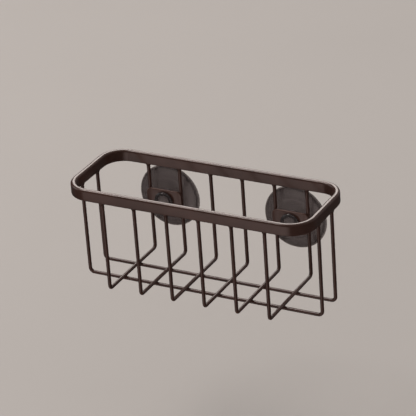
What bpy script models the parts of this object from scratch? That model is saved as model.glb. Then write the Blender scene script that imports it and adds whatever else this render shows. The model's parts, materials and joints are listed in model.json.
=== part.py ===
"""Suction sink caddy: a coated wire basket that hangs on a wall by two suction cups.

Metres, +Z up. The wall is the plane y = 0 and the basket is on its -Y side, so its front faces -Y.
The origin lies on the wall, midway between the two cups and at the height of their axes.
"""

import math

import bmesh
import bpy

# Rim band: one flat bar on edge, bent to a closed rounded rectangle
RIM_LENGTH = 0.146
RIM_DEPTH = 0.0555
RIM_HEIGHT = 0.0066
RIM_THICKNESS = 0.00325
RIM_CORNER_RADIUS = 0.0144
RIM_TOP_EDGE_RADIUS = 0.0009
RIM_EDGE_RADIUS = 0.0005

# Wires of the basket, which stand under the middle of the bar
BASKET_HEIGHT = 0.0625
WIRE_DIAMETER = 0.002
CROSS_WIRE_COUNT = 6
CROSS_WIRE_PITCH = 0.01946
CROSS_WIRE_BEND_RADIUS = 0.002
LONG_WIRE_SPACING = 0.01684
LONG_WIRE_BEND_RADIUS = 0.0026

# Brackets that carry the cups
BRACKET_HEIGHT = 0.013
BRACKET_THICKNESS = 0.0012
BRACKET_CORNER_RADIUS = 0.003
BRACKET_HOLE_DIAMETER = 0.0068

# Suction cups, pressed flat on the wall
WALL_GAP = 0.0033
CUP_DROP = 0.027
CUP_DIAMETER = 0.0372
CUP_FACE_WIDTH = 0.005
CUP_EDGE_THICKNESS = 0.0006
CUP_BELL_HEIGHT = 0.0032
CUP_POCKET_DEPTH = 0.0016
CUP_HUB_DIAMETER = 0.0112
CUP_NECK_DIAMETER = 0.0062
CUP_HEAD_DIAMETER = 0.011
CUP_HEAD_EDGE = 0.0007
CUP_HEAD_DOME = 0.002

# Gap left between pieces that touch
SEAT_GAP = 0.0003

# Fineness of the faceted shapes, and the curve of the bell's back
BEND_STEPS = 6
CORNER_STEPS = 8
RIM_EDGE_STEPS = 3
WIRE_SIDES_RESOLUTION = 4
TURN_STEPS = 40
BELL_STEPS = 6
POCKET_STEPS = 4
DOME_STEPS = 4
BELL_CURVE_POWER = 1.8

# Tolerance for merging the points that a modifier doubles
MERGE_DISTANCE = 0.00001

# Places that follow from the sizes above
wire_radius = WIRE_DIAMETER / 2
rim_top = CUP_DROP
rim_bottom = rim_top - RIM_HEIGHT
rim_back = -WALL_GAP
rim_front = rim_back - RIM_DEPTH
rim_middle = (rim_front + rim_back) / 2
wire_top = rim_bottom - SEAT_GAP
long_wire_floor = rim_top - BASKET_HEIGHT + wire_radius
cross_wire_floor = long_wire_floor + WIRE_DIAMETER + SEAT_GAP
cross_wire_half_span = (RIM_DEPTH - RIM_THICKNESS) / 2
long_wire_half_span = (RIM_LENGTH - RIM_THICKNESS) / 2
cross_wire_back = rim_middle + cross_wire_half_span
cup_offset = CROSS_WIRE_PITCH * (CROSS_WIRE_COUNT - 2) / 2
bracket_width = CROSS_WIRE_PITCH + WIRE_DIAMETER
bracket_back = cross_wire_back - wire_radius - SEAT_GAP
bracket_front = bracket_back - BRACKET_THICKNESS


def clear_scene():
    """Removes every object that is in the scene."""
    for obj in list(bpy.data.objects):
        bpy.data.objects.remove(obj, do_unlink=True)


def make_material(name, color, roughness, metallic, alpha=1.0):
    """A Principled material in one colour."""
    material = bpy.data.materials.new(name)
    material.use_nodes = True
    shader = material.node_tree.nodes["Principled BSDF"]
    shader.inputs["Base Color"].default_value = (*color, 1.0)
    shader.inputs["Roughness"].default_value = roughness
    shader.inputs["Metallic"].default_value = metallic
    shader.inputs["Alpha"].default_value = alpha
    return material


def add_part(name, data, collection, material):
    """A new object of the mesh or curve data in the collection, with the material."""
    obj = bpy.data.objects.new(name, data)
    collection.objects.link(obj)
    data.materials.append(material)
    return obj


def rounded_rectangle(half_width, half_height, radius, steps):
    """Points round a rectangle with round corners, anticlockwise."""
    centres = (
        (half_width - radius, half_height - radius, 0),
        (radius - half_width, half_height - radius, 1),
        (radius - half_width, radius - half_height, 2),
        (half_width - radius, radius - half_height, 3),
    )
    points = []
    for centre_x, centre_y, quarter in centres:
        for step in range(steps + 1):
            angle = math.pi / 2 * (quarter + step / steps)
            points.append((centre_x + radius * math.cos(angle), centre_y + radius * math.sin(angle)))
    return points


def circle(radius, steps):
    """Points round a circle, anticlockwise."""
    angles = [2 * math.pi * step / steps for step in range(steps)]
    return [(radius * math.cos(angle), radius * math.sin(angle)) for angle in angles]


def rim_section():
    """Points (inset from the outline, height) round the bar's section, from its outer lower edge."""
    corners = (
        (RIM_EDGE_RADIUS, RIM_EDGE_RADIUS, RIM_EDGE_RADIUS),
        (RIM_TOP_EDGE_RADIUS, RIM_HEIGHT - RIM_TOP_EDGE_RADIUS, RIM_TOP_EDGE_RADIUS),
        (RIM_THICKNESS - RIM_TOP_EDGE_RADIUS, RIM_HEIGHT - RIM_TOP_EDGE_RADIUS, RIM_TOP_EDGE_RADIUS),
        (RIM_THICKNESS - RIM_EDGE_RADIUS, RIM_EDGE_RADIUS, RIM_EDGE_RADIUS),
    )
    points = []
    for quarter, (inset, height, radius) in enumerate(corners):
        for step in range(RIM_EDGE_STEPS + 1):
            angle = -math.pi / 2 * (1 + quarter + step / RIM_EDGE_STEPS)
            points.append((inset + radius * math.cos(angle), height + radius * math.sin(angle)))
    return points


def make_rim(collection, material):
    """The rim band: the bar's section carried round the outline, one ring of points for each of its points."""
    mesh = bpy.data.meshes.new("rim_band")
    bm = bmesh.new()
    rings = []
    for inset, height in rim_section():
        half_length = RIM_LENGTH / 2 - inset
        half_depth = RIM_DEPTH / 2 - inset
        outline = rounded_rectangle(half_length, half_depth, RIM_CORNER_RADIUS - inset, CORNER_STEPS)
        rings.append([bm.verts.new((x, y, height)) for x, y in outline])
    for ring, next_ring in zip(rings, rings[1:] + rings[:1]):
        for here in range(len(ring)):
            there = (here + 1) % len(ring)
            bm.faces.new((ring[here], ring[there], next_ring[there], next_ring[here]))
    bm.to_mesh(mesh)
    bm.free()

    rim = add_part("rim_band", mesh, collection, material)
    rim.location = (0, rim_middle, rim_bottom)
    return rim


def u_bend(half_span, top, floor, radius):
    """Points (along, up) of a wire that runs down, along the floor and up again, with round bends."""
    points = [(-half_span, top)]
    for step in range(BEND_STEPS + 1):
        angle = math.pi * (1 + step / BEND_STEPS / 2)
        points.append((radius - half_span + radius * math.cos(angle), floor + radius + radius * math.sin(angle)))
    return points + [(-along, up) for along, up in reversed(points)]


def make_wire(name, points, location, collection, material):
    """A round wire through the points, with its object's origin at the location."""
    curve = bpy.data.curves.new(name, "CURVE")
    curve.dimensions = "3D"
    curve.bevel_depth = wire_radius
    curve.bevel_resolution = WIRE_SIDES_RESOLUTION
    curve.use_fill_caps = True
    spline = curve.splines.new("POLY")
    spline.points.add(len(points) - 1)
    for point, place in zip(spline.points, points):
        point.co = (*place, 1)
    wire = add_part(name, curve, collection, material)
    wire.location = location
    return wire


def make_cross_wires(collection, material):
    """The U wires that run from the front of the rim, under the basket, to its back."""
    bend = u_bend(cross_wire_half_span, wire_top, cross_wire_floor, CROSS_WIRE_BEND_RADIUS)
    points = [(0, along, up) for along, up in bend]
    for index in range(CROSS_WIRE_COUNT):
        x = (index - (CROSS_WIRE_COUNT - 1) / 2) * CROSS_WIRE_PITCH
        make_wire(f"cross_wire_{index + 1}", points, (x, rim_middle, 0), collection, material)


def make_long_wires(collection, material):
    """The two wide U wires that run from end to end under the cross wires."""
    bend = u_bend(long_wire_half_span, wire_top, long_wire_floor, LONG_WIRE_BEND_RADIUS)
    points = [(along, 0, up) for along, up in bend]
    for name, side in (("long_wire_front", -1), ("long_wire_back", 1)):
        y = rim_middle + side * LONG_WIRE_SPACING / 2
        make_wire(name, points, (0, y, 0), collection, material)


def make_bracket(name, x, collection, material):
    """A plate across two back uprights, with a hole for the neck of a cup."""
    curve = bpy.data.curves.new(name, "CURVE")
    curve.dimensions = "2D"
    curve.fill_mode = "BOTH"
    curve.extrude = BRACKET_THICKNESS / 2
    outline = rounded_rectangle(bracket_width / 2, BRACKET_HEIGHT / 2, BRACKET_CORNER_RADIUS, CORNER_STEPS)
    for loop in (outline, circle(BRACKET_HOLE_DIAMETER / 2, TURN_STEPS)):
        spline = curve.splines.new("POLY")
        spline.points.add(len(loop) - 1)
        for point, place in zip(spline.points, loop):
            point.co = (*place, 0, 1)
        spline.use_cyclic_u = True
    bracket = add_part(name, curve, collection, material)
    bracket.location = (x, (bracket_back + bracket_front) / 2, 0)
    bracket.rotation_euler = (math.pi / 2, 0, 0)
    return bracket


def cup_profile():
    """Points (radius, height above the wall) of a cup, from its head down its outside to its pocket."""
    cup_radius = CUP_DIAMETER / 2
    hub_radius = CUP_HUB_DIAMETER / 2
    neck_radius = CUP_NECK_DIAMETER / 2
    head_radius = CUP_HEAD_DIAMETER / 2
    pocket_radius = cup_radius - CUP_FACE_WIDTH
    hub_top = -bracket_back - SEAT_GAP
    head_bottom = -bracket_front + SEAT_GAP
    dome_base = head_bottom + CUP_HEAD_EDGE
    points = []
    for step in range(DOME_STEPS + 1):
        angle = math.pi / 2 * (1 - step / DOME_STEPS)
        points.append((head_radius * math.cos(angle), dome_base + CUP_HEAD_DOME * math.sin(angle)))
    points[0] = (0, dome_base + CUP_HEAD_DOME)
    points.append((head_radius, head_bottom))
    points.append((neck_radius, head_bottom))
    points.append((neck_radius, hub_top))
    points.append((hub_radius, hub_top))
    for step in range(BELL_STEPS + 1):
        share = step / BELL_STEPS
        height = CUP_EDGE_THICKNESS + (CUP_BELL_HEIGHT - CUP_EDGE_THICKNESS) * (1 - share) ** BELL_CURVE_POWER
        points.append((hub_radius + (cup_radius - hub_radius) * share, height))
    points.append((cup_radius, 0))
    for step in range(POCKET_STEPS + 1):
        share = 1 - step / POCKET_STEPS
        points.append((pocket_radius * share, CUP_POCKET_DEPTH * (1 - share ** 2)))
    return points


def make_cup(name, x, collection, material):
    """A suction cup turned about its own axis, which is also the axis that it swivels on."""
    mesh = bpy.data.meshes.new(name)
    bm = bmesh.new()
    corners = [bm.verts.new((radius, 0, height)) for radius, height in cup_profile()]
    for upper, lower in zip(corners, corners[1:]):
        bm.edges.new((upper, lower))
    bm.to_mesh(mesh)
    bm.free()

    cup = add_part(name, mesh, collection, material)
    cup.location = (x, 0, 0)
    cup.rotation_euler = (math.pi / 2, 0, 0)
    turn = cup.modifiers.new("Turn", "SCREW")
    turn.steps = TURN_STEPS
    turn.render_steps = TURN_STEPS
    turn.use_merge_vertices = True
    turn.merge_threshold = MERGE_DISTANCE
    turn.use_smooth_shade = True
    return cup


def main():
    """Builds the caddy in a collection of its own."""
    clear_scene()
    caddy = bpy.data.collections.new("suction_sink_caddy")
    bpy.context.scene.collection.children.link(caddy)
    bronze = make_material("bronze_coating", (0.075, 0.048, 0.038), 0.35, 0.6)
    vinyl = make_material("smoky_vinyl", (0.20, 0.17, 0.18), 0.2, 0.0, 0.7)

    make_rim(caddy, bronze)
    make_cross_wires(caddy, bronze)
    make_long_wires(caddy, bronze)
    for side_name, side in (("left", -1), ("right", 1)):
        make_bracket(f"cup_bracket_{side_name}", side * cup_offset, caddy, bronze)
        make_cup(f"suction_cup_{side_name}", side * cup_offset, caddy, vinyl)


main()
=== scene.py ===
"""The looks of the suction sink caddy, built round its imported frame.

Metres, +Z up. The caddy hangs on the wall plane y = 0 and its front faces -Y. Every piece is modelled
with Blender's own operators at the place that the frame gives, and rides on the frame's bodies.
"""

import json
import logging
import math
from collections.abc import Callable, Sequence
from dataclasses import dataclass
from enum import Enum

import bmesh
import bpy
from mathutils import Matrix, Vector

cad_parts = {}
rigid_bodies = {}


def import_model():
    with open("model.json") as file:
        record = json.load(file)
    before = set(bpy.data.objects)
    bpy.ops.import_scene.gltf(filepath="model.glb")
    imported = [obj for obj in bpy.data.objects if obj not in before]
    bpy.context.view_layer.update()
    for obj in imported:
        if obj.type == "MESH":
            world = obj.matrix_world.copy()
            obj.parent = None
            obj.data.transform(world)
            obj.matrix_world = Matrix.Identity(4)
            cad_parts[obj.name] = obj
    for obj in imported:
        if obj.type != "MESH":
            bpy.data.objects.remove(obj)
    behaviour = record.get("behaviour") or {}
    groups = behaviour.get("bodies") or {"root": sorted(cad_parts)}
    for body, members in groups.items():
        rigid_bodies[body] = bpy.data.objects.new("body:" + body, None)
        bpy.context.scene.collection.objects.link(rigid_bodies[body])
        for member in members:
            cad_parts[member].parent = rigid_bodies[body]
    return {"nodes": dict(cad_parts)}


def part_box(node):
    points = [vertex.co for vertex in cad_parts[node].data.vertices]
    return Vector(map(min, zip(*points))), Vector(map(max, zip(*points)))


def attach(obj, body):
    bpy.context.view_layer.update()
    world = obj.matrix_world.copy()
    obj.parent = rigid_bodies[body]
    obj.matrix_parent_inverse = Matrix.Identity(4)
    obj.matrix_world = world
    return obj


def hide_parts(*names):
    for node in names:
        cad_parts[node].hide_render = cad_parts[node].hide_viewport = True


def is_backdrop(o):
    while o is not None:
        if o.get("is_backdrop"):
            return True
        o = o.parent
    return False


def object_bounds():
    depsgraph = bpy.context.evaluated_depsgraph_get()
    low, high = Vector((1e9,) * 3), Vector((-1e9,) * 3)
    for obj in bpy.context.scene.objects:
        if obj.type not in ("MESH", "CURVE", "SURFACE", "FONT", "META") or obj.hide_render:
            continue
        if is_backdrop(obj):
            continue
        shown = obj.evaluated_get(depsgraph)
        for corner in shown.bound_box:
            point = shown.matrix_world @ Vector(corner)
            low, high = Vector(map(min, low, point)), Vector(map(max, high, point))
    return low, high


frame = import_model()

LEVEL_TOLERANCE = 0.000001
# The least part along an axis of a normal, or of an edge's direction, that counts as lying on the axis.
FACES_AN_AXIS = 0.5
RUNS_ALONG_AN_AXIS = 0.9
QUARTER_TURN = math.pi / 2
FULL_TURN = 2 * math.pi
UP = Vector((0, 0, 1)).freeze()
MARK_ATTRIBUTE = "mark"

Color = tuple[float, float, float]
Span = tuple[float, float]
Object = bpy.types.Object
Material = bpy.types.Material
Node = bpy.types.Node
Socket = bpy.types.NodeSocket
Vertex = bmesh.types.BMVert
Edge = bmesh.types.BMEdge
Share = Callable[[Vertex], float]
log = logging.getLogger("sink_caddy")


class Side(Enum):
    """The side of the basket that a bracket and its cup are on, seen from the front."""

    LEFT = "left"
    RIGHT = "right"


class Run(Enum):
    """The way that a rod of the basket runs along its floor."""

    ACROSS = "across"
    ALONG = "along"


class Part(Enum):
    """What an edit mode selection is made of."""

    VERTICES = "VERT"
    EDGES = "EDGE"
    FACES = "FACE"


def direction(azimuth_deg: float, elevation_deg: float) -> Vector:
    """The direction from the caddy to a place round it.

    Args:
        azimuth_deg: The angle to the right of straight in front.
        elevation_deg: The angle above level.

    Returns:
        The direction, with a length of 1.
    """
    azimuth, elevation = math.radians(azimuth_deg), math.radians(elevation_deg)
    level = math.cos(elevation)
    return Vector((math.sin(azimuth) * level, -math.cos(azimuth) * level, math.sin(elevation)))


def edge_share(part: float) -> float:
    """How far round an eased edge a normal is, from its part along one axis: 0 on the flat, 1 halfway."""
    return 2 * abs(part) * math.sqrt(max(0.0, 1 - part * part))


class Bench:
    """The work bench: Blender's modelling operators, run on one piece at a time."""

    @staticmethod
    def activate(obj: Object) -> None:
        """Makes one object the active one and the only one selected, so that operators act on it alone.

        Args:
            obj: The object to work on.
        """
        for other in bpy.context.view_layer.objects:
            other.select_set(False)
        obj.select_set(True)
        bpy.context.view_layer.objects.active = obj

    @staticmethod
    def take(name: str) -> Object:
        """Names the primitive that was just added and bakes its place into its mesh.

        Args:
            name: The piece's name.

        Returns:
            The piece, in object mode.
        """
        piece = bpy.context.active_object
        piece.name = name
        piece.data.name = name
        Bench.settle(piece)
        return piece

    @staticmethod
    def settle(piece: Object) -> None:
        """Applies a piece's place, turn and scale, so that its object sits at the origin."""
        Bench.activate(piece)
        bpy.ops.object.transform_apply(location=True, rotation=True, scale=True)

    @staticmethod
    def open(piece: Object) -> None:
        """Enters edit mode on a piece."""
        Bench.activate(piece)
        bpy.ops.object.mode_set(mode="EDIT")

    @staticmethod
    def close() -> None:
        """Leaves edit mode."""
        bpy.ops.object.mode_set(mode="OBJECT")

    @staticmethod
    def block(name: str, low: Vector, high: Vector) -> Object:
        """Adds a box to start a piece from.

        Args:
            name: The piece's name.
            low: The box's lowest corner.
            high: The box's highest corner.

        Returns:
            The piece, in edit mode.
        """
        bpy.ops.mesh.primitive_cube_add(size=1, location=(low + high) / 2, scale=high - low)
        piece = Bench.take(name)
        Bench.open(piece)
        return piece

    @staticmethod
    def ring(name: str, sides: int, radius: float, center: Vector) -> Object:
        """Adds a level ring of edges to start a tube or a turned piece from.

        Args:
            name: The piece's name.
            sides: How many edges the ring has.
            radius: The ring's radius.
            center: The ring's centre.

        Returns:
            The piece, in edit mode, with the ring selected.
        """
        bpy.ops.mesh.primitive_circle_add(vertices=sides, radius=radius, location=center)
        piece = Bench.take(name)
        Bench.open(piece)
        bpy.ops.mesh.select_all(action="SELECT")
        return piece

    @staticmethod
    def select(piece: Object, part: Part, wanted: Callable[[object], bool]) -> None:
        """Selects just those vertices, edges or faces that pass a test, in edit mode.

        Args:
            piece: The piece, in edit mode.
            part: What the selection is made of.
            wanted: True for each vertex, edge or face to select.
        """
        bpy.context.tool_settings.mesh_select_mode = [part is kind for kind in Part]
        mesh = bmesh.from_edit_mesh(piece.data)
        mesh.select_mode = {part.value}
        for every in (mesh.faces, mesh.edges, mesh.verts):
            for element in every:
                element.select = False
        elements = {Part.VERTICES: mesh.verts, Part.EDGES: mesh.edges, Part.FACES: mesh.faces}[part]
        chosen = [element for element in elements if wanted(element)]
        for element in chosen:
            element.select = True
        mesh.select_flush_mode()
        bmesh.update_edit_mesh(piece.data)

    @staticmethod
    def extrude(move: Vector) -> None:
        """Extrudes the selection and moves what it made."""
        bpy.ops.mesh.extrude_region_move(TRANSFORM_OT_translate={"value": move})

    @staticmethod
    def resize(scale: Vector, center: Vector) -> None:
        """Scales the selection about a point, by a share along X, Y and Z."""
        bpy.ops.transform.resize(value=scale, center_override=center)

    @staticmethod
    def bevel(width: float, steps: int) -> None:
        """Rounds the selected edges to a radius, in that many facets."""
        bpy.ops.mesh.bevel(offset=width, segments=steps, affect="EDGES")

    @staticmethod
    def cap(piece: Object) -> None:
        """Fills every open end of a piece, turns all its faces outwards and leaves edit mode.

        Args:
            piece: The piece, in edit mode.
        """
        Bench.select(piece, Part.EDGES, lambda edge: edge.is_boundary)
        bpy.ops.mesh.edge_face_add()
        bpy.ops.mesh.select_all(action="SELECT")
        bpy.ops.mesh.normals_make_consistent(inside=False)
        Bench.close()

    @staticmethod
    def modify(piece: Object, kind: str, **settings: object) -> None:
        """Adds a modifier to a piece and applies it.

        Args:
            piece: The piece, in object mode.
            kind: The modifier's type, as Blender names it.
            **settings: The modifier's own settings.
        """
        modifier = piece.modifiers.new(kind.title(), kind)
        for name, value in settings.items():
            setattr(modifier, name, value)
        Bench.activate(piece)
        bpy.ops.object.modifier_apply(modifier=modifier.name)

    @staticmethod
    def copy(piece: Object, name: str, move: Vector) -> Object:
        """Copies a finished piece, mesh and all, to another place.

        Args:
            piece: The piece to copy, in object mode.
            name: The copy's name.
            move: How far the copy lies from the piece.

        Returns:
            The copy, with its place in its mesh.
        """
        Bench.activate(piece)
        bpy.ops.object.duplicate()
        bpy.context.active_object.location = move
        return Bench.take(name)

    @staticmethod
    def join(pieces: Sequence[Object], name: str) -> Object:
        """Joins several shells into one piece.

        Args:
            pieces: The shells, in object mode.
            name: The joined piece's name.

        Returns:
            The joined piece.
        """
        Bench.activate(pieces[0])
        for piece in pieces:
            piece.select_set(True)
        bpy.ops.object.join()
        return Bench.take(name)

    @staticmethod
    def smooth(piece: Object, sharp_deg: float) -> None:
        """Shades a piece smooth, but for edges sharper than an angle."""
        Bench.activate(piece)
        bpy.ops.object.shade_smooth_by_angle(angle=math.radians(sharp_deg))

    @staticmethod
    def mark(piece: Object, share: Share) -> None:
        """Marks each vertex for the finishes to read: where a coating is rubbed, or how near a cup's lip it
        lies, where the vinyl gets a darker band and a painted glow of light.

        Args:
            piece: The piece, in object mode.
            share: From 0, unmarked, to 1, marked fully.
        """
        mesh = bmesh.new()
        mesh.from_mesh(piece.data)
        layer = mesh.verts.layers.float.new(MARK_ATTRIBUTE)
        for vertex in mesh.verts:
            vertex[layer] = min(1.0, max(0.0, share(vertex)))
        mesh.to_mesh(piece.data)
        mesh.free()

    @staticmethod
    def dress(piece: Object, finish: Material, sharp_deg: float, share: Share) -> None:
        """Shades a piece smooth, marks it and gives it its finish.

        Args:
            piece: The piece, in object mode.
            finish: The material.
            sharp_deg: The least angle of an edge that stays sharp.
            share: How far each vertex is marked, 0 to 1.
        """
        Bench.smooth(piece, sharp_deg)
        Bench.mark(piece, share)
        piece.data.materials.append(finish)


class Turtle:
    """Draws a tube by extruding and spinning the ring of edges that is selected."""

    def __init__(self, at: Vector, heading: Vector) -> None:
        """Starts at the selected ring's centre, facing the way that the tube goes."""
        self.at = at.copy()
        self.heading = heading.normalized()

    def straight(self, length: float) -> None:
        """Goes straight on.

        Args:
            length: How far it goes.
        """
        step = self.heading * length
        Bench.extrude(step)
        self.at += step

    def swell(self, widths: Sequence[float], length: float) -> None:
        """Goes straight on while the ring grows or shrinks.

        Args:
            widths: The ring's radius now and after each step.
            length: The length of each step.
        """
        for before, after in zip(widths, widths[1:]):
            self.straight(length)
            Bench.resize(Vector((after / before,) * 3), self.at)

    def bend(self, towards: Vector, radius: float, steps: int) -> None:
        """Goes round a quarter bend.

        Args:
            towards: The direction that the tube goes in after the bend.
            radius: The bend's radius at the tube's centre line.
            steps: How many pieces the bend is made of.
        """
        center = self.at + towards * radius
        axis = self.heading.cross(towards)
        bpy.ops.mesh.spin(steps=steps, angle=-QUARTER_TURN, center=center, axis=axis, dupli=False)
        self.at = center + self.heading * radius
        self.heading = towards.normalized()


class Nodes:
    """Adds and links the nodes of one material, world or group."""

    # The mix node has a pair of inputs and an output for each type of data, all under the same names.
    MIX_FACTOR = 0
    MIX_NUMBERS = (2, 3)
    MIXED_NUMBER = 0
    MIX_COLORS = (6, 7)
    MIXED_COLOR = 2

    def __init__(self, tree: bpy.types.NodeTree) -> None:
        """Starts on a node tree."""
        self.tree = tree

    @classmethod
    def of_material(cls, name: str) -> tuple[Material, "Nodes", Node]:
        """Starts a material.

        Args:
            name: The material's name.

        Returns:
            The material, its nodes and its Principled shader.
        """
        material = bpy.data.materials.new(name)
        material.use_nodes = True
        return material, cls(material.node_tree), material.node_tree.nodes["Principled BSDF"]

    def feed(self, node: Node, sockets: dict) -> Node:
        """Gives a node's inputs their values and links.

        Args:
            node: The node.
            sockets: A value or an output socket for each named or numbered input.

        Returns:
            The node.
        """
        for key, value in sockets.items():
            if isinstance(value, Socket):
                self.tree.links.new(value, node.inputs[key])
            else:
                node.inputs[key].default_value = value
        return node

    def add(self, kind: str, sockets: dict | None = None, **settings: object) -> Node:
        """Adds a node.

        Args:
            kind: The node's type, as Blender names it.
            sockets: A value or an output socket for each named or numbered input.
            **settings: The node's own settings.

        Returns:
            The node.
        """
        node = self.tree.nodes.new(kind)
        for name, value in settings.items():
            setattr(node, name, value)
        return self.feed(node, sockets or {})

    def math(self, operation: str, *values: object) -> Socket:
        """The result of a sum on numbers or sockets."""
        return self.add("ShaderNodeMath", dict(enumerate(values)), operation=operation).outputs[0]

    def noise(self, place: Socket, scale: object, detail: float, roughness: float) -> Socket:
        """Noise of about 0 to 1 at a place, with finer layers of a given number and strength."""
        sockets = {"Vector": place, "Scale": scale, "Detail": detail, "Roughness": roughness}
        return self.add("ShaderNodeTexNoise", sockets).outputs["Fac"]

    def between(self, value: object, low: float, high: float) -> Socket:
        """Maps a value smoothly to 0 at a low mark and 1 at a high one.

        Args:
            value: The value to map.
            low: Where the result is 0.
            high: Where the result is 1.

        Returns:
            The mapped value.
        """
        sockets = {"Value": value, "From Min": low, "From Max": high}
        node = self.add("ShaderNodeMapRange", sockets, interpolation_type="SMOOTHSTEP", clamp=True)
        return node.outputs["Result"]

    def blend(self, factor: object, first: object, second: object) -> Socket:
        """Mixes two colours.

        Args:
            factor: 0 for the first, 1 for the second.
            first: A colour or a socket.
            second: A colour or a socket.

        Returns:
            The mixed colour.
        """
        sockets = {self.MIX_FACTOR: factor}
        for key, color in zip(self.MIX_COLORS, (first, second)):
            sockets[key] = color if isinstance(color, Socket) else (*color, 1.0)
        return self.add("ShaderNodeMix", sockets, data_type="RGBA").outputs[self.MIXED_COLOR]

    def grade(self, factor: Socket, first: object, second: object) -> Socket:
        """Mixes two numbers, the first where the factor is 0 and the second where it is 1."""
        sockets = {self.MIX_FACTOR: factor, **dict(zip(self.MIX_NUMBERS, (first, second)))}
        return self.add("ShaderNodeMix", sockets, data_type="FLOAT").outputs[self.MIXED_NUMBER]

    def bump(self, height: Socket, strength: float, depth: float) -> Socket:
        """The normal that a height gives a surface."""
        sockets = {"Strength": strength, "Distance": depth, "Height": height}
        return self.add("ShaderNodeBump", sockets).outputs["Normal"]

    def either(self, factor: Socket, first: Node, second: Node) -> Node:
        """Mixes two shaders, the first where the factor is 0 and the second where it is 1."""
        return self.add("ShaderNodeMixShader", {0: factor, 1: first.outputs[0], 2: second.outputs[0]})

    def attribute(self, name: str) -> Socket:
        """Reads a float attribute of the mesh."""
        return self.add("ShaderNodeAttribute", attribute_name=name).outputs["Fac"]

    def object_place(self) -> Socket:
        """Reads the place on the piece, in metres."""
        return self.add("ShaderNodeTexCoord").outputs["Object"]


class SurfaceGroups:
    """The surface effects that several finishes share, each a node group that is built once."""

    GRIT_HEIGHT = 0.22
    GRIT_SPAN: Span = (0.52, 0.74)
    TONE_SPAN: Span = (0.32, 0.68)
    RUBBED_SPAN: Span = (0.0, 0.75)

    def __init__(self) -> None:
        """Starts with no group built."""
        self.built: dict[str, bpy.types.NodeTree] = {}

    def _start(self, name: str, inputs: dict[str, float], outputs: Sequence[str]) -> tuple[Nodes, dict, Node]:
        """Starts a group with float sockets.

        Args:
            name: The group's name.
            inputs: Each input's name and first value.
            outputs: Each output's name.

        Returns:
            The group's nodes, its input sockets by name, and the node that takes its results.
        """
        tree = bpy.data.node_groups.new(name, "ShaderNodeTree")
        for key, value in inputs.items():
            socket = tree.interface.new_socket(name=key, in_out="INPUT", socket_type="NodeSocketFloat")
            socket.default_value = value
        for key in outputs:
            tree.interface.new_socket(name=key, in_out="OUTPUT", socket_type="NodeSocketFloat")
        self.built[name] = tree
        nodes = Nodes(tree)
        given = nodes.add("NodeGroupInput").outputs
        return nodes, {key: given[key] for key in inputs}, nodes.add("NodeGroupOutput")

    def place(self, nodes: Nodes, name: str, sockets: dict) -> bpy.types.NodeOutputs:
        """Places a group in a material.

        Args:
            nodes: The material's nodes.
            name: The group's name.
            sockets: A value or an output socket for each named input.

        Returns:
            What the group puts out.
        """
        makers = {"baked_skin": self._baked_skin, "rubbed_edges": self._rubbed_edges}
        if name not in self.built:
            makers[name]()
        return nodes.add("ShaderNodeGroup", sockets, node_tree=self.built[name]).outputs

    def _baked_skin(self) -> None:
        """Builds the skin of a baked coating: shallow orange peel, fine grit and slow changes of tone."""
        defaults = {"Peel Scale": 700.0, "Grit Scale": 4200.0, "Tone Scale": 60.0}
        nodes, given, result = self._start("baked_skin", defaults, ("Height", "Grit", "Tone"))
        place = nodes.object_place()
        peel = nodes.noise(place, given["Peel Scale"], detail=1.5, roughness=0.5)
        grit = nodes.noise(place, given["Grit Scale"], detail=2.0, roughness=0.6)
        tone = nodes.noise(place, given["Tone Scale"], detail=3.0, roughness=0.55)
        nodes.feed(result, {
            "Height": nodes.math("ADD", peel, nodes.math("MULTIPLY", grit, self.GRIT_HEIGHT)),
            "Grit": nodes.between(grit, *self.GRIT_SPAN),
            "Tone": nodes.between(tone, *self.TONE_SPAN),
        })

    def _rubbed_edges(self) -> None:
        """Builds the rubbing of raised edges and bends, broken up so that no edge is rubbed evenly."""
        defaults = {"Wear": 0.0, "Break-up Scale": 320.0, "Reach": 0.5}
        nodes, given, result = self._start("rubbed_edges", defaults, ("Mask",))
        broken = nodes.noise(nodes.object_place(), given["Break-up Scale"], detail=4.0, roughness=0.6)
        held_back = nodes.math("MULTIPLY", nodes.math("SUBTRACT", 1.0, broken), given["Reach"])
        rubbed = nodes.math("SUBTRACT", given["Wear"], held_back)
        nodes.feed(result, {"Mask": nodes.between(rubbed, *self.RUBBED_SPAN)})


GROUPS = SurfaceGroups()


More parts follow.
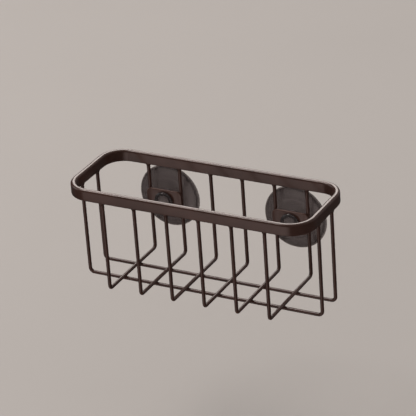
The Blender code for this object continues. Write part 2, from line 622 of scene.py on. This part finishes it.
@dataclass(frozen=True)
class BronzeCoating:
    """Dark bronze coating on steel: baked on, satin, and a little lighter and warmer where it is rubbed."""

    name: str
    deep_tone: Color = (0.043, 0.0180, 0.0130)
    light_tone: Color = (0.060, 0.0265, 0.0198)
    rubbed_tone: Color = (0.150, 0.078, 0.054)
    fleck_share: float = 0.35
    rubbed_share: float = 0.7
    metallic: float = 0.25
    roughness: float = 0.34
    roughness_spread: float = 0.10
    rubbed_roughness: float = 0.28
    specular: float = 0.3
    peel_scale: float = 700.0
    peel_depth: float = 0.00002
    peel_strength: float = 0.6
    break_up_scale: float = 320.0
    reach: float = 0.5
    coat: float = 0.8
    coat_roughness: float = 0.12

    def build(self) -> Material:
        """Builds the finish.

        Returns:
            The material.
        """
        material, nodes, shader = Nodes.of_material(self.name)
        skin = GROUPS.place(nodes, "baked_skin", {"Peel Scale": self.peel_scale})
        worn = {"Wear": nodes.attribute(MARK_ATTRIBUTE), "Break-up Scale": self.break_up_scale,
                "Reach": self.reach}
        rubbed = GROUPS.place(nodes, "rubbed_edges", worn)["Mask"]

        body = nodes.blend(skin["Tone"], self.deep_tone, self.light_tone)
        flecked = nodes.blend(nodes.math("MULTIPLY", skin["Grit"], self.fleck_share), body, self.rubbed_tone)
        bared = nodes.math("MULTIPLY", rubbed, self.rubbed_share)
        matt = nodes.math("ADD", nodes.math("MULTIPLY", skin["Grit"], self.roughness_spread), self.roughness)
        nodes.feed(shader, {
            "Base Color": nodes.blend(bared, flecked, self.rubbed_tone),
            "Roughness": nodes.grade(rubbed, matt, self.rubbed_roughness),
            "Normal": nodes.bump(skin["Height"], self.peel_strength, self.peel_depth),
            "Metallic": self.metallic,
            "Specular IOR Level": self.specular,
            "Coat Weight": self.coat,
            "Coat Roughness": self.coat_roughness,
        })
        return material


@dataclass(frozen=True)
class SmokyVinyl:
    """Soft, smoky, see-through vinyl with slow clouds, a darker band near the lip and a paler lip, which is a
    painted glow of light.
    """

    name: str
    tint: Color = (0.112, 0.094, 0.095)
    cloud_tint: Color = (0.150, 0.130, 0.131)
    band_tint: Color = (0.072, 0.060, 0.060)
    band_span: Span = (0.05, 0.45)
    # The paler lip is painted light: a glow of light along the lip, put into the vinyl's colour.
    lip_glow_tint: Color = (0.30, 0.27, 0.265)
    lip_glow_span: Span = (0.72, 0.92)
    shadow_tint: Color = (0.45, 0.41, 0.42)
    transmission: float = 0.82
    roughness: float = 0.14
    frost: float = 0.10
    refraction: float = 1.45
    ripple_scale: float = 260.0
    grit_scale: float = 2600.0
    cloud_scale: float = 45.0
    ripple_depth: float = 0.00003
    ripple_strength: float = 0.4

    def build(self) -> Material:
        """Builds the finish.

        Returns:
            The material.
        """
        material, nodes, shader = Nodes.of_material(self.name)
        scales = {"Peel Scale": self.ripple_scale, "Grit Scale": self.grit_scale,
                  "Tone Scale": self.cloud_scale}
        skin = GROUPS.place(nodes, "baked_skin", scales)
        body = nodes.blend(skin["Tone"], self.tint, self.cloud_tint)
        mark = nodes.attribute(MARK_ATTRIBUTE)
        banded = nodes.blend(nodes.between(mark, *self.band_span), body, self.band_tint)
        nodes.feed(shader, {
            # The paler lip over the darker band is a painted glow of light along the lip.
            "Base Color": nodes.blend(nodes.between(mark, *self.lip_glow_span), banded, self.lip_glow_tint),
            "Roughness": nodes.math("ADD", nodes.math("MULTIPLY", skin["Grit"], self.frost), self.roughness),
            "Normal": nodes.bump(skin["Height"], self.ripple_strength, self.ripple_depth),
            "Transmission Weight": self.transmission,
            "IOR": self.refraction,
        })
        shadow = nodes.add("ShaderNodeLightPath").outputs["Is Shadow Ray"]
        clear = nodes.add("ShaderNodeBsdfTransparent", {"Color": (*self.shadow_tint, 1.0)})
        surface = nodes.either(shadow, shader, clear).outputs[0]
        nodes.feed(material.node_tree.nodes["Material Output"], {"Surface": surface})
        return material


@dataclass(frozen=True)
class PalePaint:
    """Plain matt paint for the floor and the wall. One-sided paint can't be seen from behind."""

    name: str
    tone: Color
    one_sided: bool = False
    mottle_scale: float = 9.0
    mottle_tone: float = 0.97
    roughness: float = 0.85
    specular: float = 0.1

    def build(self) -> Material:
        """Builds the finish.

        Returns:
            The material.
        """
        material, nodes, shader = Nodes.of_material(self.name)
        mottle = nodes.noise(nodes.object_place(), self.mottle_scale, detail=3.0, roughness=0.5)
        darker = tuple(self.mottle_tone * value for value in self.tone)
        nodes.feed(shader, {
            "Base Color": nodes.blend(mottle, darker, self.tone),
            "Roughness": self.roughness,
            "Specular IOR Level": self.specular,
        })
        if self.one_sided:
            behind = nodes.add("ShaderNodeNewGeometry").outputs["Backfacing"]
            surface = nodes.either(behind, shader, nodes.add("ShaderNodeBsdfTransparent")).outputs[0]
            nodes.feed(material.node_tree.nodes["Material Output"], {"Surface": surface})
        return material


@dataclass
class RimBand:
    """The flat bar on edge, bent to a closed rounded rectangle, that is the basket's mouth."""

    finish: BronzeCoating
    corner_radius: float = 0.0144
    thickness: float = 0.00325
    top_round: float = 0.00125
    bottom_round: float = 0.0005
    corner_steps: int = 28
    top_steps: int = 10
    bottom_steps: int = 4
    top_wear: float = 0.15
    bottom_wear: float = 0.45
    sharp_deg: float = 50.0

    def build(self) -> Object:
        """Builds the band: a wall round the outline, thickened inwards, with its edges eased.

        Returns:
            The band.
        """
        low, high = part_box("rim_band")
        band = Bench.block("rim_bar", low, high)
        Bench.select(band, Part.FACES, lambda face: abs(face.normal.z) > FACES_AN_AXIS)
        bpy.ops.mesh.delete(type="ONLY_FACE")
        Bench.select(band, Part.EDGES,
                     lambda edge: abs(edge.verts[0].co.z - edge.verts[1].co.z) > self.bottom_round)
        Bench.bevel(self.corner_radius, self.corner_steps)
        Bench.close()
        Bench.modify(band, "SOLIDIFY", thickness=self.thickness, offset=-1, use_even_offset=True)

        for outer in (True, False):
            self._ease(band, high.z, outer, self.top_round, self.top_steps)
            self._ease(band, low.z, outer, self.bottom_round, self.bottom_steps)
        Bench.dress(band, self.finish.build(), self.sharp_deg, self._wear)
        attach(band, "basket")
        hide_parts("rim_band")
        return band

    def _ease(self, band: Object, level: float, outer: bool, width: float, steps: int) -> None:
        """Rounds one of the band's four long edges.

        Args:
            band: The band, in object mode.
            level: The height of the edge.
            outer: True for the edge round the outside.
            width: The rounding's radius.
            steps: How many facets the rounding has.
        """
        def on_edge(edge: Edge) -> bool:
            """True for a level edge at that height whose steep face looks outwards or inwards as asked."""
            if any(abs(vertex.co.z - level) > LEVEL_TOLERANCE for vertex in edge.verts):
                return False
            steep = [face for face in edge.link_faces if abs(face.normal.z) < FACES_AN_AXIS]
            if len(steep) != 1 or len(edge.link_faces) != 2:
                return False
            middle = (edge.verts[0].co + edge.verts[1].co) / 2
            return (steep[0].normal.dot(middle - self._spine(middle)) > 0) == outer

        Bench.open(band)
        Bench.select(band, Part.EDGES, on_edge)
        Bench.bevel(width, steps)
        Bench.close()

    @staticmethod
    def _spine(place: Vector) -> Vector:
        """The nearest point to a place on the line between the centres of the band's ends.

        Args:
            place: A point on the band.

        Returns:
            The point on the line, at the same height.
        """
        low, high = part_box("rim_band")
        middle = (low + high) / 2
        reach = (high.x - low.x - high.y + low.y) / 2
        return Vector((min(reach, max(-reach, place.x)), middle.y, place.z))

    def _wear(self, vertex: Vertex) -> float:
        """How far the band is rubbed at a vertex: most halfway round an eased edge, less above than below."""
        up = vertex.normal.z
        return edge_share(up) * (self.top_wear if up > 0 else self.bottom_wear)


@dataclass
class BasketRods:
    """The bent wires of the basket, each with the small weld fillets at its two top ends."""

    finish: BronzeCoating
    across_bend: float = 0.002
    along_bend: float = 0.0026
    seat_gap: float = 0.0003
    weld_sink: float = 0.0002
    weld_radius: float = 0.00145
    weld_length: float = 0.0015
    weld_steps: int = 5
    sides: int = 28
    bend_steps: int = 14
    bend_wear: float = 0.6
    even_wear: float = 0.1
    sharp_deg: float = 50.0

    def build(self) -> list[Object]:
        """Builds the six rods across and the two along.

        Returns:
            The rods.
        """
        material = self.finish.build()
        across = self._bent_rod("cross_wire_1", "cross_rod_1", Run.ACROSS)
        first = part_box("cross_wire_1")[0]
        rods = {"cross_wire_1": across}
        for number in range(2, 1 + sum(name.startswith("cross_wire_") for name in frame["nodes"])):
            node = f"cross_wire_{number}"
            rods[node] = Bench.copy(across, f"cross_rod_{number}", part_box(node)[0] - first)
        for place in ("front", "back"):
            node = f"long_wire_{place}"
            rods[node] = self._bent_rod(node, f"long_rod_{place}", Run.ALONG)
        for node, rod in rods.items():
            Bench.smooth(rod, self.sharp_deg)
            rod.data.materials.append(material)
            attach(rod, "basket")
            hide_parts(node)
        return list(rods.values())

    def _bent_rod(self, node: str, name: str, run: Run) -> Object:
        """Bends one rod: down, round, along the floor, round and up again.

        Args:
            node: The frame's node that the rod stands for.
            name: The rod's name.
            run: The way that it runs along the floor.

        Returns:
            The rod, marked where it is rubbed.
        """
        low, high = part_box(node)
        middle = (low + high) / 2
        if run is Run.ACROSS:
            radius, bend, onward = (high.x - low.x) / 2, self.across_bend, Vector((0, 1, 0))
            start = Vector((middle.x, low.y + radius, high.z))
            span = high.y - low.y - 2 * radius
        else:
            radius, bend, onward = (high.y - low.y) / 2, self.along_bend, Vector((1, 0, 0))
            start = Vector((low.x + radius, middle.y, high.z))
            span = high.x - low.x - 2 * radius
        seat = self.seat_gap + self.weld_sink
        top = start + UP * seat
        upright = high.z - low.z - radius - bend
        widths = self._fillet_widths(radius)
        step = self.weld_length / self.weld_steps

        rod = Bench.ring(name, self.sides, self.weld_radius, top)
        turtle = Turtle(top, -UP)
        turtle.straight(seat)
        turtle.swell(widths, step)
        turtle.straight(upright - self.weld_length)
        turtle.bend(onward, bend, self.bend_steps)
        turtle.straight(span - 2 * bend)
        turtle.bend(UP, bend, self.bend_steps)
        turtle.straight(upright - self.weld_length)
        turtle.swell(widths[::-1], step)
        turtle.straight(seat)
        Bench.cap(rod)

        lowest = low.z + radius
        Bench.mark(rod, lambda vertex: self._wear(vertex, start, onward, span, lowest, bend))
        return rod

    def _fillet_widths(self, radius: float) -> list[float]:
        """The radii of the rings of a weld fillet, from the rim down to a bare wire of the given radius."""
        angles = [QUARTER_TURN * step / self.weld_steps for step in range(self.weld_steps + 1)]
        return [radius + (self.weld_radius - radius) * (1 - math.sin(angle)) for angle in angles]

    def _wear(self, vertex: Vertex, start: Vector, onward: Vector, span: float, lowest: float,
              bend: float) -> float:
        """How far a rod is rubbed at a vertex: most on the outside of its bends.

        Args:
            vertex: A vertex of the rod.
            start: The top of the rod's first upright.
            onward: The direction of its run along the floor.
            span: The distance between its uprights.
            lowest: The height of its run along the floor.
            bend: The radius of its bends.

        Returns:
            The wear, 0 to 1.
        """
        along = (vertex.co - start).dot(onward)
        end = min(abs(along), abs(span - along))
        near = math.hypot(end, vertex.co.z - lowest) / (2 * bend)
        outward = vertex.normal.dot(onward * (1 if along > span / 2 else -1)) - vertex.normal.z
        return max(0.0, 1 - near) * max(0.0, outward) * self.bend_wear + self.even_wear


@dataclass
class CrossingWelds:
    """The small saddle-shaped welds where the rods across lie on the rods along."""

    finish: BronzeCoating
    waist_radius: float = 0.00062
    flare_radius: float = 0.00098
    sink: float = 0.00012
    sides: int = 24
    levels: int = 8
    wear: float = 0.35
    sharp_deg: float = 60.0

    def build(self) -> Object:
        """Builds one weld and copies it to every crossing.

        Returns:
            All the welds, as one piece.
        """
        places = self._crossings()
        first = self._saddle(places[0])
        welds = [first]
        for number, place in enumerate(places[1:], 2):
            welds.append(Bench.copy(first, f"crossing_weld_{number}", place - places[0]))
        joined = Bench.join(welds, "crossing_welds")
        Bench.dress(joined, self.finish.build(), self.sharp_deg, lambda vertex: self.wear)
        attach(joined, "basket")
        return joined

    @staticmethod
    def _crossings() -> list[Vector]:
        """Where the rods cross, halfway between their centre lines.

        Returns:
            The middle of each crossing.
        """
        places = []
        for name in sorted(name for name in frame["nodes"] if name.startswith("cross_wire_")):
            across_low, across_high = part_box(name)
            for long_name in ("long_wire_front", "long_wire_back"):
                along_low, along_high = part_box(long_name)
                x, y = (across_low.x + across_high.x) / 2, (along_low.y + along_high.y) / 2
                radius = (along_high.y - along_low.y) / 2
                places.append(Vector((x, y, (across_low.z + along_low.z) / 2 + radius)))
        return places

    def _saddle(self, place: Vector) -> Object:
        """Shapes one weld between the two wires that cross at a place.

        Args:
            place: The middle of the crossing.

        Returns:
            The weld.
        """
        along_low, along_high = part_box("long_wire_front")
        wire = (along_high.y - along_low.y) / 2
        offset = (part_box("cross_wire_1")[0].z - along_low.z) / 2
        weld = Bench.ring("crossing_weld_1", self.sides, self.waist_radius, place)
        for _ in range(self.levels):
            Bench.extrude(UP * (wire / self.levels))
        Bench.cap(weld)
        for vertex in weld.data.vertices:
            share = round((vertex.co.z - place.z) / wire * self.levels) / self.levels
            spread = self.waist_radius + (self.flare_radius - self.waist_radius) * (2 * share - 1) ** 2
            x = (vertex.co.x - place.x) / self.waist_radius * spread
            y = (vertex.co.y - place.y) / self.waist_radius * spread
            top = offset - math.sqrt(max(0.0, wire ** 2 - x ** 2)) + self.sink
            bottom = -offset + math.sqrt(max(0.0, wire ** 2 - y ** 2)) - self.sink
            vertex.co = place + Vector((x, y, bottom + (top - bottom) * share))
        return weld


@dataclass
class CupBracket:
    """A stamped plate across two back uprights, which holds the neck of a cup."""

    side: Side
    material: Material
    weld_material: Material
    corner_radius: float = 0.003
    hole_radius: float = 0.0034
    edge_round: float = 0.00018
    corner_steps: int = 12
    hole_sides: int = 64
    edge_steps: int = 3
    edge_deg: float = 50.0
    punch_depths: int = 4
    sharp_deg: float = 40.0
    bead_length: float = 0.0034
    bead_radius: float = 0.00052
    bead_sides: int = 16
    bead_steps: int = 12
    bead_offset: float = 0.0034
    bead_tip: float = 0.25
    bead_ripple: float = 0.06
    bead_ripples: int = 6
    bead_wear: float = 0.3
    bead_sharp_deg: float = 70.0
    seat_gap: float = 0.0003

    def build(self) -> list[Object]:
        """Builds the plate and its weld beads.

        Returns:
            The pieces.
        """
        plate = self._plate()
        beads = self._beads()
        for piece in (plate, beads):
            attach(piece, "basket")
        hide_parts(f"cup_bracket_{self.side.value}")
        return [plate, beads]

    def _plate(self) -> Object:
        """Cuts the plate from sheet, with round corners, a hole and eased edges.

        Returns:
            The plate.
        """
        def runs_through(edge: Edge) -> bool:
            """True for an edge from the plate's front to its back."""
            return abs((edge.verts[0].co - edge.verts[1].co).normalized().y) > RUNS_ALONG_AN_AXIS

        low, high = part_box(f"cup_bracket_{self.side.value}")
        plate = Bench.block(f"bracket_plate_{self.side.value}", low, high)
        Bench.select(plate, Part.EDGES, runs_through)
        Bench.bevel(self.corner_radius, self.corner_steps)
        Bench.close()

        bpy.ops.mesh.primitive_cylinder_add(
            vertices=self.hole_sides, radius=self.hole_radius, depth=self.punch_depths * (high.y - low.y),
            location=(low + high) / 2, rotation=(QUARTER_TURN, 0, 0))
        punch = Bench.take("punch")
        Bench.modify(plate, "BOOLEAN", object=punch, operation="DIFFERENCE", solver="EXACT")
        bpy.data.objects.remove(punch, do_unlink=True)
        Bench.modify(plate, "BEVEL", width=self.edge_round, segments=self.edge_steps, limit_method="ANGLE",
                     angle_limit=math.radians(self.edge_deg))
        Bench.dress(plate, self.material, self.sharp_deg, lambda vertex: edge_share(vertex.normal.y))
        return plate

    def _beads(self) -> Object:
        """Lays the weld beads in the corners between the plate's back and the two uprights.

        Returns:
            The beads, as one piece.
        """
        low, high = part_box(f"cup_bracket_{self.side.value}")
        rod_low, rod_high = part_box("cross_wire_1")
        wire = (rod_high.x - rod_low.x) / 2
        depth = high.y + self.seat_gap / 2 + self.bead_radius / 2
        beads = []
        for upright in (low.x + wire, high.x - wire):
            for level in (-self.bead_offset, self.bead_offset):
                for flank in (-1, 1):
                    place = Vector((upright + flank * (wire - self.bead_radius / 2), depth, level))
                    beads.append(self._bead(place))
        joined = Bench.join(beads, f"bracket_welds_{self.side.value}")
        Bench.dress(joined, self.weld_material, self.bead_sharp_deg, lambda vertex: self.bead_wear)
        return joined

    def _bead(self, place: Vector) -> Object:
        """Shapes one bead: a short rod that swells from its ends, with a ripple for each dab of the torch.

        Args:
            place: The bead's middle.

        Returns:
            The bead.
        """
        widths = []
        for step in range(self.bead_steps + 1):
            share = step / self.bead_steps
            swell = (1 - self.bead_tip) * math.sin(math.pi * share) ** 0.5
            ripple = self.bead_ripple * math.cos(self.bead_ripples * FULL_TURN * share)
            widths.append(self.bead_radius * (self.bead_tip + swell + ripple))
        start = place - UP * (self.bead_length / 2)
        bead = Bench.ring("bead", self.bead_sides, widths[0], start)
        Turtle(start, UP).swell(widths, self.bead_length / self.bead_steps)
        Bench.cap(bead)
        return bead


@dataclass
class SuctionCup:
    """A suction cup, one moulding with its neck and its domed head, pressed flat on the wall."""

    side: Side
    material: Material
    face_width: float = 0.005
    lip_thickness: float = 0.0006
    lip_round: float = 0.00022
    bell_height: float = 0.0032
    bell_power: float = 1.8
    pocket_depth: float = 0.0016
    lip_bead: float = 0.00022
    lip_bead_inset: float = 0.0012
    lip_width: float = 0.0028
    ridge_height: float = 0.00016
    ridge_place: float = 0.0116
    ridge_width: float = 0.0006
    hub_radius: float = 0.0056
    hub_round: float = 0.0005
    neck_radius: float = 0.0031
    head_radius: float = 0.0055
    head_edge: float = 0.0007
    head_edge_parts: int = 3
    head_dome: float = 0.002
    gate_radius: float = 0.0009
    gate_depth: float = 0.00014
    pole_radius: float = 0.0001
    seat_gap: float = 0.0003
    sides: int = 96
    bell_steps: int = 44
    pocket_steps: int = 12
    dome_steps: int = 14
    round_steps: int = 5
    sharp_deg: float = 40.0

    def build(self) -> Object:
        """Turns the cup on its own axis and sets it on the wall.

        Returns:
            The cup.
        """
        low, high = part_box(f"suction_cup_{self.side.value}")
        middle = (low + high) / 2
        plate_low, plate_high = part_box(f"cup_bracket_{self.side.value}")
        lip = (high.x - low.x) / 2
        hub_height = high.y - plate_high.y - self.seat_gap
        rings = self._profile(lip, hub_height, high.y - plate_low.y + self.seat_gap)
        radius, height = rings[0]
        cup = Bench.ring(f"cup_moulding_{self.side.value}", self.sides, radius, UP * height)
        for (last_radius, last_height), (radius, height) in zip(rings, rings[1:]):
            Bench.extrude(UP * (height - last_height))
            share = radius / last_radius
            Bench.resize(Vector((share, share, 1)), UP * height)
        Bench.cap(cup)
        cup.rotation_euler = (QUARTER_TURN, 0, 0)
        cup.location = (middle.x, high.y, middle.z)
        Bench.settle(cup)

        def near_lip(vertex: Vertex) -> float:
            """How near a vertex is to the lip: 1 at the lip, and 0 where the marked width ends."""
            from_axis = math.hypot(vertex.co.x - middle.x, vertex.co.z - middle.z)
            return 1 - (lip - from_axis) / self.lip_width

        Bench.dress(cup, self.material, self.sharp_deg, near_lip)
        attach(cup, f"{self.side.value}_cup")
        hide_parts(f"suction_cup_{self.side.value}")
        return cup

    def _profile(self, cup_radius: float, hub_height: float, head_bottom: float) -> list[Span]:
        """The turned profile, from the middle of the pocket round the lip and up to the head.

        Args:
            cup_radius: The radius of the cup's lip.
            hub_height: How far the hub stands out from the wall.
            head_bottom: How far the underside of the head stands out from the wall.

        Returns:
            The radius and the height above the wall of each ring.
        """
        pocket_radius = cup_radius - self.face_width
        lip_center = cup_radius - self.lip_round
        rings = []
        for step in range(self.pocket_steps):
            share = step / self.pocket_steps
            rings.append((max(self.pole_radius, pocket_radius * share), self.pocket_depth * (1 - share ** 2)))
        rings += [(pocket_radius, 0.0), (lip_center, 0.0)]
        rings += self._round(lip_center, self.lip_round, self.lip_round, -QUARTER_TURN, 0.0)
        rings += self._round(lip_center, self.lip_thickness - self.lip_round, self.lip_round,
                             0.0, QUARTER_TURN)
        for step in range(1, self.bell_steps + 1):
            radius = lip_center + (self.hub_radius - lip_center) * step / self.bell_steps
            rings.append((radius, self._bell(radius, cup_radius)))
        rings += self._round(self.hub_radius - self.hub_round, hub_height - self.hub_round, self.hub_round,
                             0.0, QUARTER_TURN)
        rings += [(self.neck_radius, hub_height), (self.neck_radius, head_bottom)]
        edge = self.head_edge / self.head_edge_parts
        rings += self._round(self.head_radius - edge, head_bottom + edge, edge, -QUARTER_TURN, 0.0)
        dome_base = head_bottom + self.head_edge
        for step in range(self.dome_steps):
            angle = QUARTER_TURN * step / self.dome_steps
            radius = self.head_radius * math.cos(angle)
            gate = self.gate_depth * max(0.0, 1 - (radius / self.gate_radius) ** 2)
            rings.append((radius, dome_base + self.head_dome * math.sin(angle) - gate))
        rings.append((self.pole_radius, dome_base + self.head_dome - self.gate_depth))
        return rings

    def _bell(self, radius: float, cup_radius: float) -> float:
        """The height of the bell's back, with a bead near its lip and a fine ridge where the mould parts.

        Args:
            radius: The distance from the cup's axis.
            cup_radius: The radius of the cup's lip.

        Returns:
            The height above the wall.
        """
        share = (cup_radius - radius) / (cup_radius - self.hub_radius)
        height = self.lip_thickness + (self.bell_height - self.lip_thickness) * share ** self.bell_power
        from_bead = (radius - cup_radius + self.lip_bead_inset) / self.ridge_width
        from_ridge = (radius - self.ridge_place) / self.ridge_width
        bead = self.lip_bead * math.exp(-from_bead ** 2)
        return height + bead + self.ridge_height * math.exp(-from_ridge ** 2)

    def _round(self, center: float, height: float, radius: float, first: float, last: float) -> list[Span]:
        """The rings of a rounded edge, about a centre, from a first angle above level to a last one."""
        angles = [first + (last - first) * step / self.round_steps for step in range(1, self.round_steps + 1)]
        return [(center + radius * math.cos(angle), height + radius * math.sin(angle)) for angle in angles]


@dataclass
class PhotoCamera:
    """The camera, at the photograph's angle and distance."""

    azimuth_deg: float = 29.135
    elevation_deg: float = 26.620
    roll_deg: float = 4.189
    focal_pixels: float = 2320.4
    distance: float = 1.2462
    frame_pixels: float = 416.0
    target_pixel: Span = (203.530, 185.241)
    sensor_width: float = 36.0

    def build(self) -> None:
        """Builds the camera so that the middle of the rim's top falls on its pixel."""
        low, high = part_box("rim_band")
        target = Vector(((low.x + high.x) / 2, (low.y + high.y) / 2, high.z))
        back = direction(self.azimuth_deg, self.elevation_deg)
        level = UP.cross(back).normalized()
        down = -back.cross(level)
        roll = math.radians(self.roll_deg)
        right = math.cos(roll) * level + math.sin(roll) * down
        up = math.sin(roll) * level - math.cos(roll) * down
        middle = self.frame_pixels / 2
        aside, under = ((pixel - middle) / self.focal_pixels * self.distance for pixel in self.target_pixel)

        data = bpy.data.cameras.new("photo_camera")
        data.sensor_width = self.sensor_width
        data.lens = self.focal_pixels / self.frame_pixels * self.sensor_width
        camera = bpy.data.objects.new("photo_camera", data)
        bpy.context.scene.collection.objects.link(camera)
        place = target + back * self.distance - right * aside + up * under
        turn = Matrix((right, up, back)).transposed()
        camera.matrix_world = Matrix.LocRotScale(place, turn.to_quaternion(), None)
        bpy.context.scene.camera = camera


@dataclass(frozen=True)
class Lamp:
    """A soft lamp, given by its direction from the caddy."""

    name: str
    azimuth_deg: float
    elevation_deg: float
    distance: float
    width: float
    height: float
    radiance: float
    tone: Color = (1.0, 1.0, 1.0)

    def build(self, target: Vector) -> None:
        """Hangs the lamp, aimed at the caddy.

        Args:
            target: What it is aimed at.
        """
        back = direction(self.azimuth_deg, self.elevation_deg)
        data = bpy.data.lights.new(self.name, "AREA")
        data.shape = "RECTANGLE"
        data.size = self.width
        data.size_y = self.height
        data.energy = self.radiance * math.pi * self.width * self.height
        data.color = self.tone
        lamp = bpy.data.objects.new(self.name, data)
        bpy.context.scene.collection.objects.link(lamp)
        turn = back.to_track_quat("Z", "Y")
        lamp.matrix_world = Matrix.LocRotScale(target + back * self.distance, turn, None)
        lamp.visible_camera = False


@dataclass(frozen=True)
class SkyPatch:
    """A soft patch of sky: it ends, and is full, at a cosine of the angle from its middle."""

    tone: Color
    towards: tuple[float, float, float]
    ends: float
    full: float

    def over(self, nodes: Nodes, sky: object) -> Socket:
        """Lays the patch over a sky.

        Args:
            nodes: The world's nodes.
            sky: The colour or socket that shows outside the patch.

        Returns:
            The sky with the patch.
        """
        place = nodes.add("ShaderNodeTexCoord").outputs["Generated"]
        sockets = {0: place, 1: Vector(self.towards).normalized()}
        cosine = nodes.add("ShaderNodeVectorMath", sockets, operation="DOT_PRODUCT").outputs["Value"]
        return nodes.blend(nodes.between(cosine, self.ends, self.full), sky, self.tone)


@dataclass
class Studio:
    """The plain studio: a pale floor, a pale wall that the cups hold on to, soft lamps and a soft sky."""

    half_width: float = 3.0
    wall_height: float = 2.0
    floor_level: float = -0.115
    wall_gap: float = 0.0002
    tone: Color = (0.49, 0.465, 0.445)
    sky_dim: Color = (0.32, 0.305, 0.295)
    sky_front: SkyPatch = SkyPatch((0.86, 0.83, 0.81), (-0.25, -0.94, 0.20), ends=-0.7, full=0.9)
    gloss_dim: Color = (0.035, 0.034, 0.033)
    gloss_low: SkyPatch = SkyPatch((0.80, 0.68, 0.65), (-0.20, -0.868, -0.454), ends=0.86, full=1.0)
    gloss_high: SkyPatch = SkyPatch((0.30, 0.28, 0.27), (0.35, 0.70, 0.62), ends=0.45, full=0.95)
    lamps: tuple[Lamp, ...] = (
        Lamp("key_softbox", azimuth_deg=-82.0, elevation_deg=22.0, distance=1.0, width=0.5, height=0.6,
             radiance=0.8),
        Lamp("window_softbox", azimuth_deg=-152.0, elevation_deg=28.0, distance=3.0, width=0.90, height=0.86,
             radiance=3.9, tone=(1.0, 0.92, 0.87)),
        Lamp("ceiling_softbox", azimuth_deg=-92.0, elevation_deg=60.0, distance=2.0, width=1.35, height=0.62,
             radiance=5.6, tone=(1.0, 0.93, 0.89)),
    )

    def build(self) -> None:
        """Builds the floor, the wall, the lamps and the sky."""
        self._floor()
        self._wall()
        self._sky()
        low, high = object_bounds()
        for lamp in self.lamps:
            lamp.build((low + high) / 2)

    def _floor(self) -> None:
        """Lays the floor."""
        bpy.ops.mesh.primitive_plane_add(size=2 * self.half_width, location=(0, 0, self.floor_level))
        floor = Bench.take("studio_floor")
        floor.data.materials.append(PalePaint("floor_paint", self.tone).build())
        floor.visible_glossy = False
        floor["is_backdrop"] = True

    def _wall(self) -> None:
        """Stands the wall just behind the cups, where the camera and the vinyl alone see it, from in front."""
        place = (0, self.wall_gap, self.floor_level + self.wall_height / 2)
        bpy.ops.mesh.primitive_plane_add(size=1, location=place, rotation=(QUARTER_TURN, 0, 0),
                                         scale=(2 * self.half_width, self.wall_height, 1))
        wall = Bench.take("studio_wall")
        wall.data.materials.append(PalePaint("wall_paint", self.tone, one_sided=True).build())
        wall.visible_diffuse = False
        wall.visible_glossy = False
        wall.visible_shadow = False
        wall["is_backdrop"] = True

    def _sky(self) -> None:
        """Lights everything softly from the front left, and shows the camera and the vinyl a plain pale tone.

        Smooth surfaces mirror a sky of their own, which is dark but for a bright patch low in front and a
        dim one high behind.
        """
        world = bpy.data.worlds.new("studio_sky")
        world.use_nodes = True
        bpy.context.scene.world = world
        nodes = Nodes(world.node_tree)
        soft = self.sky_front.over(nodes, self.sky_dim)
        light = nodes.feed(world.node_tree.nodes["Background"], {"Color": soft})
        mirrored = self.gloss_high.over(nodes, self.gloss_low.over(nodes, self.gloss_dim))
        gloss = nodes.add("ShaderNodeBackground", {"Color": mirrored})
        plain = nodes.add("ShaderNodeBackground", {"Color": (*self.tone, 1.0)})
        path = nodes.add("ShaderNodeLightPath").outputs
        seen = nodes.math("MAXIMUM", path["Is Camera Ray"], path["Is Transmission Ray"])
        shown = nodes.either(seen, nodes.either(path["Is Glossy Ray"], light, gloss), plain)
        nodes.feed(world.node_tree.nodes["World Output"], {"Surface": shown.outputs[0]})


def set_view() -> None:
    """Shows colours plainly, as they are."""
    bpy.context.scene.view_settings.view_transform = "Standard"


def report(pieces: Sequence[Object]) -> None:
    """Logs each piece that was just built and how many faces it has."""
    for piece in pieces:
        log.info("%s: %d faces", piece.name, len(piece.data.polygons))


def main() -> None:
    """Dresses the caddy, sub-assembly by sub-assembly, and sets up the studio."""
    logging.basicConfig(level=logging.INFO, format="%(name)s: %(message)s")
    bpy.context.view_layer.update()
    PhotoCamera().build()
    set_view()

    report([RimBand(BronzeCoating("rim_bronze")).build()])
    report(BasketRods(BronzeCoating("rod_bronze", peel_depth=0.000012)).build())
    weld_bronze = BronzeCoating("weld_bronze", roughness=0.4, peel_scale=1500.0, peel_depth=0.00004, coat=0.3)
    report([CrossingWelds(weld_bronze).build()])

    plate_bronze = BronzeCoating("plate_bronze", roughness=0.33).build()
    bead_bronze = BronzeCoating("bead_bronze", roughness=0.42, peel_scale=1500.0, peel_depth=0.00004).build()
    vinyl = SmokyVinyl("cup_vinyl").build()
    for side in Side:
        report(CupBracket(side, plate_bronze, bead_bronze).build())
        report([SuctionCup(side, vinyl).build()])

    Studio().build()


if __name__ == "__main__":
    main()
